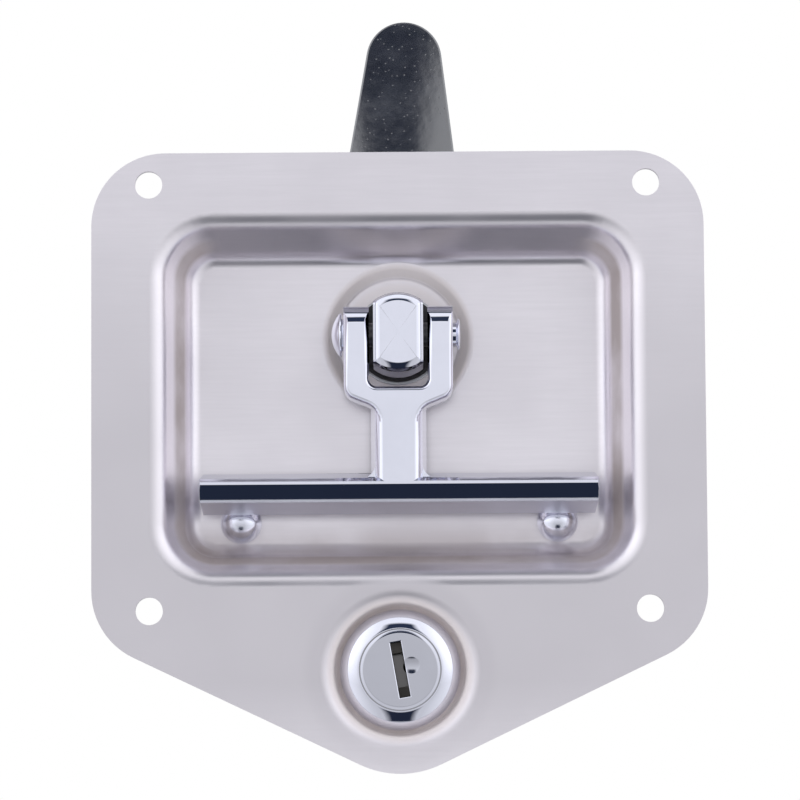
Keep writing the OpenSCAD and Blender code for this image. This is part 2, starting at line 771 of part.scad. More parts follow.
module pivot_pin() {
    flare = pin_end_d / 2;
    color(chrome) facing() at_spindle(pin_depth) rotate([0, 90, 0]) {
        cylinder(d = pin_d, h = fork_w, center = true);
        translate([0, 0, -fork_w / 2]) mirror([0, 0, 1]) cylinder(d = pin_neck_d, h = pin_neck);
        translate([0, 0, -fork_w / 2 - pin_neck]) mirror([0, 0, 1]) cylinder(d = pin_head_d, h = pin_rim);
        translate([0, 0, -fork_w / 2 - pin_neck - pin_rim]) dome(pin_head_d, pin_head_h);
        translate([0, 0, fork_w / 2]) rotate_extrude() scale([1, pin_end_h]) polygon([
            [0, 0], [pin_d / 2, 0], [pin_d / 2, 0.55], [flare, 0.7], [flare, 0.88], [flare - 0.5, 1], [0, 1]
        ]);
    }
}

module lock_housing() {
    round_mid = bezel_front + bezel_round;
    color(chrome) facing() difference() {
        union() {
            at_lock(0) rotate_extrude() {
                intersection() {
                    translate([bezel_d / 2 - bezel_round, round_mid]) circle(r = bezel_round);
                    translate([0, bezel_front]) square([bezel_d / 2, bezel_round]);
                }
                translate([0, bezel_front]) square([bezel_d / 2 - bezel_round, well_front - bezel_front]);
                translate([0, round_mid]) square([bezel_d / 2, bezel_rim]);
            }
            at_lock(well_front) linear_extrude(barrel_end - well_front)
                flatted_circle(barrel_d, barrel_flat);
        }
        at_lock(bezel_front - cut) cylinder(d = face_bore_d, h = face_t + end_play + cut);
        at_lock(bezel_front) cylinder(d = plug_bore_d, h = barrel_end - bezel_front + cut);
    }
}
module lock_washer() {
    color(zinc) facing() at_lock(well_back) ring(lock_washer_d, barrel_d + 2 * slip_fit, lock_washer_t);
}
module lock_nut() {
    color(zinc) facing() at_lock(well_back + lock_washer_t)
        hex_nut(lock_nut_af, barrel_d + slip_fit, lock_nut_t);
}
module wafer_box(w, h, t) {
    for (i = [0:wafer_count - 1]) translate([0, 0, wafer_first + i * wafer_pitch])
        translate([-w / 2, -h / 2, 0]) cube([w, h, t]);
}
module lock_plug() {
    color(chrome) facing() at_lock(0) rotate(slot_tilt) difference() {
        union() {
            rotate_extrude() polygon([
                [0, bezel_front], [face_d / 2 - face_bevel, bezel_front],
                [face_d / 2, bezel_front + face_bevel], [face_d / 2, bezel_front + face_t],
                [plug_d / 2, bezel_front + face_t], [plug_d / 2, barrel_end], [0, barrel_end]
            ]);
            translate([0, 0, barrel_end]) cylinder(d = plug_d - 1, h = tail_front - barrel_end);
            rotate(-slot_tilt) translate([0, 0, tail_front + tail_t / 2 - slip_fit / 2])
                cube([tail_square, tail_square, tail_t - slip_fit], center = true);
        }
        translate([-slot_w / 2, -slot_len / 2, bezel_front - cut])
            cube([slot_w, slot_len, slot_end - bezel_front + cut]);
        wafer_box(wafer_w + slip_fit, plug_d + 1, wafer_t + slip_fit);
        translate([0, 0, tail_back - screw_room()])
            cylinder(d = screw_d + slip_fit, h = screw_room() + cut);
        for (i = [0:wafer_count - 1]) translate([spring_x, 0, wafer_mid(i)]) rotate([90, 0, 0])
            cylinder(d = wafer_spring_d + 2 * slip_fit, h = wafer_spring_h + 4 * slip_fit, center = true);
    }
}
function screw_room() = 6;
function wafer_mid(i) = wafer_first + i * wafer_pitch + (wafer_t + slip_fit) / 2;
module plug_clip() {
    color(zinc) facing() at_lock(barrel_end + end_play) ring(clip_d, plug_d - 1 + slip_fit, clip_t);
}
module wafer_tumblers() {
    color(brass) facing() at_lock(slip_fit / 2) rotate(slot_tilt) difference() {
        wafer_box(wafer_w, wafer_h, wafer_t);
        translate([-slot_w / 2, -window_h / 2, 0]) cube([slot_w, window_h, slot_end]);
        translate([spring_x - wafer_spring_d / 2 - slip_fit, -wafer_spring_h / 2 - slip_fit, 0])
            cube([wafer_spring_d + 2 * slip_fit, wafer_spring_h + 2 * slip_fit, slot_end]);
    }
}
// A round wire coil along Y, centred on the origin
module coil(d, wire, length, turns) {
    steps = 9 * turns;
    sides = 5;
    points = [for (k = [0:steps], j = [0:sides - 1]) let (
        a = 360 * turns * k / steps,
        b = 360 * j / sides,
        r = d / 2 - wire / 2 + wire / 2 * cos(b)
    ) [r * cos(a), -length / 2 + wire / 2 + (length - wire) * k / steps + wire / 2 * sin(b), r * sin(a)]];
    last = steps * sides;
    skin = [for (k = [0:steps - 1], j = [0:sides - 1])
        let (m = (j + 1) % sides, p = k * sides, q = p + sides)
        each [[p + j, p + m, q + m], [p + j, q + m, q + j]]];
    ends = [[for (j = [0:sides - 1]) sides - 1 - j], [for (j = [0:sides - 1]) last + j]];
    polyhedron(points, concat(skin, ends));
}
module wafer_springs() {
    color(zinc) facing() at_lock(0) rotate(slot_tilt) for (i = [0:wafer_count - 1])
        translate([spring_x, 0, wafer_mid(i)]) coil(wafer_spring_d, wafer_wire, wafer_spring_h, 3);
}
// Tail drawn to the left, as it lies unlocked
module tail_lever() {
    color(zinc) facing() at_lock(tail_front) rotate(90) difference() {
        linear_extrude(tail_t) intersection() {
            union() {
                circle(d = tail_w);
                polygon([
                    [-tail_w / 2, 0], [tail_w / 2, 0],
                    [tail_tip_w / 2, tail_reach], [-tail_tip_w / 2, tail_reach]
                ]);
            }
            circle(r = tail_reach);
        }
        translate([0, 0, tail_t / 2])
            cube([tail_square + slip_fit, tail_square + slip_fit, tail_t + 2 * cut], center = true);
    }
}
module tail_washer() {
    color(zinc) facing() at_lock(tail_back) ring(tail_washer_d, screw_d + 2 * slip_fit, tail_washer_t);
}
module tail_screw() {
    shank = screw_room() - 1;
    drive_w = 1;
    drive_depth = 1;
    color(zinc) facing() at_lock(tail_back) difference() {
        union() {
            translate([0, 0, tail_washer_t]) mirror([0, 0, 1])
                cylinder(d = screw_d, h = shank + tail_washer_t);
            translate([0, 0, tail_washer_t]) mirror([0, 0, 1]) dome(screw_head_d, screw_head_h);
        }
        translate([0, 0, tail_washer_t + screw_head_h])
            cube([screw_head_d, drive_w, 2 * drive_depth], center = true);
    }
}

dish();
rest_studs();
spindle_bush();
bush_nut();
lock_housing();
lock_washer();
lock_nut();
spindle();
spindle_seal();
thrust_washer();
spring_washer();
lock_plate();
cam();
cam_washer();
cam_nut();
t_handle();
pivot_pin();
lock_plug();
plug_clip();
wafer_tumblers();
wafer_springs();
tail_lever();
tail_washer();
tail_screw();
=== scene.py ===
"""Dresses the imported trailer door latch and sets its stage."""

import json
import math

import bmesh
import bpy
from mathutils import Matrix, Vector


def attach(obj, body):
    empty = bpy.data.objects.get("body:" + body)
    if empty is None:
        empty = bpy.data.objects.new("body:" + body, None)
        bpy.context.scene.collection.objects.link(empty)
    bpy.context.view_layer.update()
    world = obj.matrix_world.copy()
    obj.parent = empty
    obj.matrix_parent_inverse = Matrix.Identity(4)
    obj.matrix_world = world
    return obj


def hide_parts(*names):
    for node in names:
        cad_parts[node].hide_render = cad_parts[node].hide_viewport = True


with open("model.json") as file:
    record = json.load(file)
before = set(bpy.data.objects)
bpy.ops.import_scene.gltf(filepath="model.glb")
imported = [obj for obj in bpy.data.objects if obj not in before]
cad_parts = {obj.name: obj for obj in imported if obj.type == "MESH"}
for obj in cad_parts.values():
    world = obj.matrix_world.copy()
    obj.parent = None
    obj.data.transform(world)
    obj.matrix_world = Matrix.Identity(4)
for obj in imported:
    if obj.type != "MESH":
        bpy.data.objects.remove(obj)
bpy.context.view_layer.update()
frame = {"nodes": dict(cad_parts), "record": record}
BODY_OF = {node: body for body, nodes in frame["record"]["behaviour"]["bodies"].items() for node in nodes}
SLOT_OF = {part["node"]: part["material_slot"] for part in frame["record"]["subparts"]}

# Landmarks of the CAD, in metres.
SPINDLE_Z = 0.0133  # the spindle's axis
LOCK_Z = -0.0556  # the lock's axis
BAR_TOP = -0.0148  # the grip bar lies below this
BAR_END = 0.003  # length of the bar's tapered ends
PRONG_ROUND = 0.0149  # the prongs' ends round off above this
HUB_FRONT = 0.00001  # the hub's front face lies before this
HUB_FOOT = 0.0011  # the hub's rim ends at this depth
BEZEL_BACK = 0.0028  # the lock's bezel lies before this
PLUG_RING = 0.0069  # the plug's ring starts at this radius
SLOT_REACH = 0.0062  # the key slot lies within this radius

# Shapes that scene.py gives the dressed pieces, in metres.
BAR_TAPER = 0.3  # share of the taper that is kept at the bar's ends
HUB_SPREAD = 1.056  # growth of the hub's front face
HUB_CORNER = 0.00008  # points of the hub's outline that are nearer than this are one
HUB_RIM, HUB_STEP = 0.0004, 0.0007  # widths of the rim and the step about the hub's front face
RIM_BACK, STEP_BACK, FOOT_BACK = 0.0005, 0.00016, 0.0006  # how far each is set back
BEZEL_CUT, BEZEL_FROM, BEZEL_TO = 0.00885, 0.0089, 0.0085  # inner radius: test, in the CAD and dressed
BEZEL_GROWTH = 1.1176  # the dressed bezel's width against the CAD's
BEZEL_WIDTH, BEZEL_DOME = 0.0038, 0.00245  # width and fall of the dressed dome
BEZEL_LEAN, BEZEL_LIP = 0.25, 0.0005  # slope of the dome and how far its inner edge stands out
RING_RADIUS, RING_SLOPE, RING_DEPTH = 0.00745, 0.11, 0.0011  # the slim ring about the plug's face

# Where the soil, the painted shade, the haze and the darker middle of the flange lie: start, full, last and
# end of each, in metres.
WALL_FILM = (0.0045, 0.0070, 0.0112, 0.0132)
CORNER_FILM = (0.010, 0.0125, 0.0149, 0.0155)
# Painted shadow of the grip bar on the dish's floor, in the soil colour.
BAR_SHADOW_BAND = (0.013, 0.015, 0.0156, 0.0160)
RECESS_HAZE = (0.0120, 0.0135, 0.0154, 0.0160)
WELL_HAZE = (0.0120, 0.0125, 0.0138, 0.0152)
# Brown grime with a painted contact shadow at the edge of the lock's bezel.
LOCK_GRIME_AND_SHADOW = (0.0118, 0.0121, 0.0128, 0.0140)
# The flange's front is darker across its middle and lower part, lighter at its top and tip.
FLANGE_DARKER = (-0.076, -0.058, -0.01, 0.045)
THREAD_RUNOUT = 0.0004

# The studio's dark zones by the height of their direction: start, full, last and end.
ZONE_BELOW = (-0.93, -0.90, -0.42, -0.32)
ZONE_ABOVE = (0.24, 0.28, 0.68, 0.76)

bl_info = {
    "name": "Trailer Door Latch",
    "version": (1, 0, 0),
    "blender": (4, 5, 0),
    "location": "View3D > Sidebar > Latch",
    "description": "Dresses a flush T-handle latch with its finishes, edges and stage",
    "category": "Object",
}


class LatchFinish(bpy.types.PropertyGroup):
    """Colours and surface values of the finishes."""

    stainless: bpy.props.FloatVectorProperty(
        name="Stainless", description="Colour of the pressed sheet", subtype="COLOR", size=3,
        min=0, max=1, default=(0.905, 0.868, 0.90))
    # Brown soil colour, also used for painted shade under the grip bar and at the edge of the lock's bezel.
    stainless_soil_and_shade: bpy.props.FloatVectorProperty(
        name="Stainless soil", description="Colour of the film left in the corners of the pressing",
        subtype="COLOR", size=3, min=0, max=1, default=(0.46, 0.395, 0.375))
    stainless_haze: bpy.props.FloatVectorProperty(
        name="Stainless haze", description="Colour of the dust in the round recess and the lock well",
        subtype="COLOR", size=3, min=0, max=1, default=(0.93, 0.86, 0.83))
    chrome: bpy.props.FloatVectorProperty(
        name="Chrome", description="Colour of the chrome plate", subtype="COLOR", size=3,
        min=0, max=1, default=(0.78, 0.79, 0.87))
    paint: bpy.props.FloatVectorProperty(
        name="Cam paint", description="Colour of the black paint on the cam", subtype="COLOR", size=3,
        min=0, max=1, default=(0.016, 0.018, 0.024))
    zinc: bpy.props.FloatVectorProperty(
        name="Zinc", description="Colour of the zinc plate on nuts and washers", subtype="COLOR", size=3,
        min=0, max=1, default=(0.60, 0.61, 0.64))
    rubber: bpy.props.FloatVectorProperty(
        name="Rubber", description="Colour of the seal", subtype="COLOR", size=3,
        min=0, max=1, default=(0.016, 0.016, 0.018))
    brass: bpy.props.FloatVectorProperty(
        name="Brass", description="Colour of the brass pieces", subtype="COLOR", size=3,
        min=0, max=1, default=(0.72, 0.55, 0.28))


class LatchDetail(bpy.types.PropertyGroup):
    """Sizes of the small edge roundings that the finishes catch."""

    sheet_edge: bpy.props.FloatProperty(
        name="Sheet edge", description="Rounding of the sheet's cut edges", subtype="DISTANCE",
        min=0.00005, max=0.0006, default=0.0004)
    casting_edge: bpy.props.FloatProperty(
        name="Casting edge", description="Rounding of the handle's polished edges", subtype="DISTANCE",
        min=0.00005, max=0.0004, default=0.0003)
    turned_edge: bpy.props.FloatProperty(
        name="Turned edge", description="Rounding of turned and stamped pieces", subtype="DISTANCE",
        min=0.00005, max=0.0004, default=0.00018)


class LatchStage(bpy.types.PropertyGroup):
    """Camera and light."""

    distance: bpy.props.FloatProperty(
        name="Camera distance", description="From the camera to the flange", subtype="DISTANCE",
        min=0.3, max=3, default=0.8)
    elevation: bpy.props.FloatProperty(
        name="Camera elevation", description="Height of the camera over the latch, as an angle",
        subtype="ANGLE", min=-0.6, max=0.6, default=math.radians(-4.74))
    roll: bpy.props.FloatProperty(
        name="Camera roll", description="Turn of the camera about its line of sight", subtype="ANGLE",
        min=-0.1, max=0.1, default=math.radians(-0.37))
    view_width: bpy.props.FloatProperty(
        name="View width", description="Width that the picture covers at the flange", subtype="DISTANCE",
        min=0.05, max=1, default=0.1627)
    target: bpy.props.FloatVectorProperty(
        name="Target", description="Point of the flange in the middle of the picture",
        subtype="TRANSLATION", size=3, default=(0.0003, -0.0015, -0.0009))
    room_light: bpy.props.FloatProperty(
        name="Room light", description="Strength of the white studio round the latch",
        min=0, max=3, default=1.0)
    side_light: bpy.props.FloatProperty(
        name="Side light", description="Brightness of the studio's sides against its front",
        min=0.5, max=3, default=1.45)
    room_front: bpy.props.FloatVectorProperty(
        name="Room front", description="Colour of the studio's white as metal shows it",
        subtype="COLOR", size=3, min=0, max=1, default=(0.82, 0.83, 0.87))
    room_dark: bpy.props.FloatVectorProperty(
        name="Room shade", description="Colour of the studio's ceiling and floor as metal shows them",
        subtype="COLOR", size=3, min=0, max=1, default=(0.022, 0.030, 0.055))


def new_group(name, inputs, outputs):
    """An empty shader node group with named sockets."""
    group = bpy.data.node_groups.new(name, "ShaderNodeTree")
    for label, kind, value in inputs:
        socket = group.interface.new_socket(label, in_out="INPUT", socket_type=kind)
        if value is not None:
            socket.default_value = value
    for label, kind in outputs:
        group.interface.new_socket(label, in_out="OUTPUT", socket_type=kind)
    return group, group.nodes.new("NodeGroupInput"), group.nodes.new("NodeGroupOutput")


def put(tree, kind, links=None, **values):
    """Adds a node, sets its values and links its inputs."""
    node = tree.nodes.new(kind)
    for key, value in values.items():
        setattr(node, key, value)
    for key, value in (links or {}).items():
        socket = node.inputs[key]
        if isinstance(value, bpy.types.NodeSocket):
            tree.links.new(value, socket)
        else:
            socket.default_value = value
    return node


def rolled_grain_group():
    """Fine lines along X with slow cloudy shading, as on rolled sheet."""
    group, source, sink = new_group(
        "Rolled grain",
        [("Vector", "NodeSocketVector", None), ("Line Scale", "NodeSocketFloat", 900.0),
         ("Cloud Scale", "NodeSocketFloat", 60.0)],
        [("Tone", "NodeSocketFloat"), ("Cloud", "NodeSocketFloat"), ("Height", "NodeSocketFloat")])
    stretch = put(group, "ShaderNodeVectorMath", {0: source.outputs["Vector"], 1: (0.05, 1.0, 1.0)},
                  operation="MULTIPLY")
    lines = put(group, "ShaderNodeTexNoise", {
        "Vector": stretch.outputs[0], "Scale": source.outputs["Line Scale"], "Detail": 3.0, "Roughness": 0.6})
    cloud = put(group, "ShaderNodeTexNoise", {
        "Vector": source.outputs["Vector"], "Scale": source.outputs["Cloud Scale"], "Detail": 4.0,
        "Roughness": 0.55})
    group.links.new(lines.outputs["Fac"], sink.inputs["Tone"])
    group.links.new(cloud.outputs["Fac"], sink.inputs["Cloud"])
    group.links.new(lines.outputs["Fac"], sink.inputs["Height"])
    return group


def ripple_group():
    """Shallow waviness, as polished plate or sprayed paint has."""
    group, source, sink = new_group(
        "Surface ripple",
        [("Vector", "NodeSocketVector", None), ("Scale", "NodeSocketFloat", 400.0)],
        [("Height", "NodeSocketFloat"), ("Patch", "NodeSocketFloat")])
    ripple = put(group, "ShaderNodeTexNoise", {
        "Vector": source.outputs["Vector"], "Scale": source.outputs["Scale"], "Detail": 2.0, "Roughness": 0.4})
    patch_scale = put(group, "ShaderNodeMath", {0: source.outputs["Scale"], 1: 0.25}, operation="MULTIPLY")
    patch = put(group, "ShaderNodeTexNoise", {
        "Vector": source.outputs["Vector"], "Scale": patch_scale.outputs[0], "Detail": 5.0, "Roughness": 0.65})
    group.links.new(ripple.outputs["Fac"], sink.inputs["Height"])
    group.links.new(patch.outputs["Fac"], sink.inputs["Patch"])
    return group


def material_base(name):
    """A material with its Principled shader and Object coordinates."""
    material = bpy.data.materials.new(name)
    material.use_nodes = True
    tree = material.node_tree
    shader = tree.nodes["Principled BSDF"]
    coords = put(tree, "ShaderNodeTexCoord")
    return material, tree, shader, coords.outputs["Object"]


def ramp(tree, value, low, high, to_low, to_high):
    """Maps one value range to another and stops at its ends."""
    node = put(tree, "ShaderNodeMapRange", {
        "Value": value, "From Min": low, "From Max": high, "To Min": to_low, "To Max": to_high})
    return node.outputs["Result"]


def blend_colour(tree, factor, a, b):
    """Mixes two colours, given as sockets or values."""
    node = put(tree, "ShaderNodeMix", {"Factor": factor}, data_type="RGBA")
    for key, value in (("A", a), ("B", b)):
        socket = next(s for s in node.inputs if s.name == key and s.type == "RGBA")
        if isinstance(value, bpy.types.NodeSocket):
            tree.links.new(value, socket)
        else:
            socket.default_value = (*value, 1.0)
    return next(s for s in node.outputs if s.type == "RGBA")


def maths(tree, operation, a, b=0.0):
    """One step of arithmetic on sockets or values."""
    return put(tree, "ShaderNodeMath", {0: a, 1: b}, operation=operation).outputs[0]


def band(tree, value, start, full, last, end):
    """1 between full and last, fading to 0 at start and end."""
    return maths(tree, "MULTIPLY", ramp(tree, value, start, full, 0.0, 1.0),
                 ramp(tree, value, last, end, 1.0, 0.0))


def toned(colour, factor):
    """A colour made darker or lighter."""
    return [channel * factor for channel in colour]


def effect(tree, name, place, **scales):
    """Places a shared effect in a material with its own scales."""
    inputs = {"Vector": place, **{key.replace("_", " ").title(): value for key, value in scales.items()}}
    return put(tree, "ShaderNodeGroup", inputs, node_tree=bpy.data.node_groups[name])


def axis_radius(tree, axes, height):
    """Distance from a line along Y at the given height."""
    return maths(tree, "SQRT", maths(
        tree, "ADD", maths(tree, "POWER", axes.outputs["X"], 2.0),
        maths(tree, "POWER", maths(tree, "SUBTRACT", axes.outputs["Z"], height), 2.0)))


def bump(tree, shader, height, strength, distance):
    """Feeds a height into the shader's normal."""
    node = put(tree, "ShaderNodeBump", {"Height": height, "Strength": strength, "Distance": distance})
    tree.links.new(node.outputs["Normal"], shader.inputs["Normal"])


def soil_shade_and_haze(tree, axes):
    """Masks of brown soil on side walls and corners, with painted shade under the grip bar and at the lock's
    bezel, and of pale haze in recess and lock well.
    """
    across, deep, up = (axes.outputs[k] for k in "XYZ")
    wide = maths(tree, "ABSOLUTE", across)
    wall = band(tree, deep, *WALL_FILM)
    lower = ramp(tree, up, 0.024, 0.029, 1.0, 0.0)
    side = maths(tree, "MAXIMUM", lower, ramp(tree, wide, 0.036, 0.041, 0.0, 1.0))
    wall = maths(tree, "MULTIPLY", wall, side)
    corner = maths(tree, "MULTIPLY", ramp(tree, wide, 0.030, 0.041, 0.0, 1.0),
                   ramp(tree, up, -0.031, -0.022, 1.0, 0.0))
    corner = maths(tree, "MULTIPLY", corner, band(tree, deep, *CORNER_FILM))
    # Painted shadow of the grip bar on the dish's floor.
    bar_shadow = maths(tree, "MULTIPLY", ramp(tree, up, -0.031, -0.024, 0.7, 0.0), band(tree, deep, *BAR_SHADOW_BAND))
    spindle = axis_radius(tree, axes, SPINDLE_Z)
    ring = maths(tree, "MULTIPLY", band(tree, spindle, *RECESS_HAZE),
                 ramp(tree, deep, 0.0152, 0.0160, 0.0, 1.0))
    sump = maths(tree, "MULTIPLY", ramp(tree, spindle, 0.0112, 0.0126, 0.5, 0.0),
                 ramp(tree, deep, 0.0178, 0.0183, 0.0, 1.0))
    lock = axis_radius(tree, axes, LOCK_Z)
    well = band(tree, lock, *WELL_HAZE)
    # Brown grime with a painted contact shadow at the edge of the lock's bezel.
    grime_and_shadow = maths(tree, "MULTIPLY", band(tree, lock, *LOCK_GRIME_AND_SHADOW), 0.8)
    soil_and_shade = maths(tree, "MAXIMUM", maths(tree, "MAXIMUM", wall, grime_and_shadow),
                 maths(tree, "MAXIMUM", corner, bar_shadow))
    return soil_and_shade, maths(tree, "MAXIMUM", well, maths(tree, "MAXIMUM", ring, sump))


def pressed_stainless(finish):
    """Bright rolled sheet, darker across the middle of the flange, with brown soil, painted shade and pale
    haze in its hollows.
    """
    material, tree, shader, place = material_base("pressed_stainless")
    grain = effect(tree, "Rolled grain", place, line_scale=1600.0, cloud_scale=45.0)
    axes = put(tree, "ShaderNodeSeparateXYZ", {"Vector": place})
    patch = ramp(tree, grain.outputs["Cloud"], 0.36, 0.62, 0.35, 0.9)
    soil_and_shade, haze = soil_shade_and_haze(tree, axes)
    soil_and_shade = maths(tree, "MULTIPLY", soil_and_shade, patch)
    haze = maths(tree, "MULTIPLY", haze, ramp(tree, grain.outputs["Cloud"], 0.36, 0.62, 0.85, 1.0))
    tone = blend_colour(tree, ramp(tree, grain.outputs["Tone"], 0.3, 0.7, 0.0, 1.0),
                        toned(finish.stainless, 0.96), finish.stainless)
    cloud = blend_colour(tree, ramp(tree, grain.outputs["Cloud"], 0.35, 0.7, 0.0, 0.5),
                         tone, toned(finish.stainless, 0.92))
    # The flange's front turns darker across its middle and lower part.
    darker_middle = maths(tree, "MULTIPLY", ramp(tree, axes.outputs["Y"], -0.0012, 0.0005, 1.0, 0.0),
                    band(tree, axes.outputs["Z"], *FLANGE_DARKER))
    cloud = blend_colour(tree, darker_middle, cloud, toned(finish.stainless, 0.80))
    colour = blend_colour(tree, haze, cloud, finish.stainless_haze)
    # The soil colour also paints the shadow under the grip bar and at the lock bezel's edge.
    colour = blend_colour(tree, soil_and_shade, colour, finish.stainless_soil_and_shade)
    tree.links.new(colour, shader.inputs["Base Color"])
    soiled_and_shaded = maths(tree, "MAXIMUM", maths(tree, "MULTIPLY", soil_and_shade, 0.8), haze)
    tree.links.new(ramp(tree, soiled_and_shaded, 0.0, 1.0, 1.0, 0.05), shader.inputs["Metallic"])
    rough = ramp(tree, grain.outputs["Cloud"], 0.3, 0.7, 0.32, 0.39)
    about_lock = ramp(tree, axis_radius(tree, axes, LOCK_Z), 0.0178, 0.0200, 0.15, 0.0)
    rough = maths(tree, "ADD", rough, about_lock)
    rough = maths(tree, "ADD", rough, maths(tree, "MULTIPLY", soiled_and_shaded, 0.2))
    tree.links.new(rough, shader.inputs["Roughness"])
    eased = ramp(tree, axes.outputs["Y"], 0.0155, 0.0183, 0.0, 0.0019)
    lines = maths(tree, "MULTIPLY", grain.outputs["Height"], 0.000004)
    bump(tree, shader, maths(tree, "ADD", lines, eased), 1.0, 1.0)
    return material


def chrome_plate(finish, name="chrome_plate", mark=None):
    """Polished plate with faint waviness. A mark adds a node's painted shade and greyer places, and its dull
    and raised places.
    """
    material, tree, shader, place = material_base(name)
    ripple = effect(tree, "Surface ripple", place, scale=260.0)
    colour = blend_colour(tree, ramp(tree, ripple.outputs["Patch"], 0.35, 0.7, 0.0, 1.0),
                          finish.chrome, toned(finish.chrome, 0.95))
    height = maths(tree, "MULTIPLY", ripple.outputs["Height"], 0.05)
    rough = ramp(tree, ripple.outputs["Patch"], 0.35, 0.75, 0.03, 0.08)
    if mark:
        dark, dull, relief = mark(tree, put(tree, "ShaderNodeSeparateXYZ", {"Vector": place}))
        # Painted shade in gaps, thread grooves and the key slot, and the plug's greyer face, blend towards
        # this dark colour.
        colour = blend_colour(tree, dark, colour, (0.11, 0.106, 0.102))
        rough = maths(tree, "ADD", rough, dull)
        height = maths(tree, "ADD", height, relief)
    tree.links.new(colour, shader.inputs["Base Color"])
    shader.inputs["Metallic"].default_value = 1.0
    tree.links.new(rough, shader.inputs["Roughness"])
    bump(tree, shader, height, 1.0, 0.0003)
    return material


def thread_relief(tree, axes, height, pitch, from_depth, to_depth):
    """Height of a screw thread about a line along Y."""
    turn = maths(tree, "ARCTAN2", maths(tree, "SUBTRACT", axes.outputs["Z"], height), axes.outputs["X"])
    along = maths(tree, "MULTIPLY", axes.outputs["Y"], math.tau / pitch)
    wave = maths(tree, "SINE", maths(tree, "ADD", along, turn))
    return maths(tree, "MULTIPLY", wave, band(
        tree, axes.outputs["Y"], from_depth, from_depth + THREAD_RUNOUT, to_depth - THREAD_RUNOUT, to_depth))


def thread_shade(tree, relief):
    """Painted shade in the bottom of a thread, by its depth."""
    depth = maths(tree, "MAXIMUM", maths(tree, "MULTIPLY", relief, -1.0), 0.0)
    return maths(tree, "MULTIPLY", depth, 0.55)


def barrel_mark(tree, axes):
    """The thread on the lock's barrel, left out on its two flats, and painted shade in the gap about the plug.
    """
    wide = maths(tree, "ABSOLUTE", axes.outputs["X"])
    thread = thread_relief(tree, axes, LOCK_Z, pitch=0.0012, from_depth=0.0055, to_depth=0.0268)
    relief = maths(tree, "MULTIPLY", thread, ramp(tree, wide, 0.0080, 0.0082, 1.0, 0.0))
    # Painted shade in the gap between the plug and the bore.
    bore_shade = maths(tree, "MULTIPLY", ramp(tree, axis_radius(tree, axes, LOCK_Z), 0.00842, 0.00848, 0.97, 0.0),
                 band(tree, axes.outputs["Y"], -0.00048, -0.0004, 0.0026, 0.0029))
    return maths(tree, "MAXIMUM", thread_shade(tree, relief), bore_shade), 0.0, relief


def spindle_mark(tree, axes):
    """The thread on the spindle's end, behind the cam, and the turned side of the hub."""
    relief = thread_relief(tree, axes, SPINDLE_Z, pitch=0.00125, from_depth=0.0345, to_depth=0.0440)
    side = maths(tree, "MULTIPLY", ramp(tree, axis_radius(tree, axes, SPINDLE_Z), 0.0079, 0.0081, 0.0, 0.4),
                 ramp(tree, axes.outputs["Y"], 0.0010, 0.0030, 0.0, 1.0))
    return thread_shade(tree, relief), side, relief


def pin_mark(tree, axes):
    """Painted shade in the gaps beside the hub, where the pin is also duller."""
    wide = maths(tree, "ABSOLUTE", axes.outputs["X"])
    gap = band(tree, wide, 0.0048, 0.0050, 0.0061, 0.0063)
    return maths(tree, "MULTIPLY", gap, 0.95), maths(tree, "MULTIPLY", gap, 0.4), 0.0


def bar_mark(tree, axes):
    """The brushed underside of the grip bar."""
    return 0.0, ramp(tree, axes.outputs["Z"], -0.0214, -0.0207, 0.3, 0.0), 0.0


def stud_mark(tree, axes):
    """The rubbed heads of the rest studs."""
    return 0.0, ramp(tree, axes.outputs["Y"], 0.0100, 0.0130, 0.14, 0.06), 0.0


def slot_mark(tree, axes):
    """Painted shade inside the key slot and in the gap about the plug's side, the greyer face and the dimple
    beside the slot.
    """
    radius = axis_radius(tree, axes, LOCK_Z)
    inner = ramp(tree, radius, 0.0060, 0.0063, 1.0, 0.0)
    # Painted shade inside the key slot.
    dark = maths(tree, "MULTIPLY", ramp(tree, axes.outputs["Y"], -0.0002, 0.0005, 0.0, 0.97), inner)
    dark = maths(tree, "MAXIMUM", dark, ramp(tree, axes.outputs["Y"], -0.00049, -0.00046, 0.36, 0.0))
    # Painted shade in the gap about the plug's side.
    side = maths(tree, "MULTIPLY", ramp(tree, radius, 0.00800, 0.00808, 0.0, 0.97),
                 ramp(tree, axes.outputs["Y"], -0.00042, -0.0003, 0.0, 1.0))
    dark = maths(tree, "MAXIMUM", dark, side)
    beside = put(tree, "ShaderNodeCombineXYZ", {
        "X": axes.outputs["X"], "Y": 0.0, "Z": axes.outputs["Z"]}).outputs[0]
    apart = put(tree, "ShaderNodeVectorMath", {0: beside, 1: (0.0023, 0.0, -0.0547)},
                operation="DISTANCE").outputs["Value"]
    fall = maths(tree, "POWER", ramp(tree, apart, 0.0, 0.0017, 0.0, 1.0), 2.0)
    hollow = maths(tree, "SUBTRACT", 1.0, fall)
    return dark, maths(tree, "MULTIPLY", inner, 0.06), maths(tree, "MULTIPLY", hollow, -0.7)


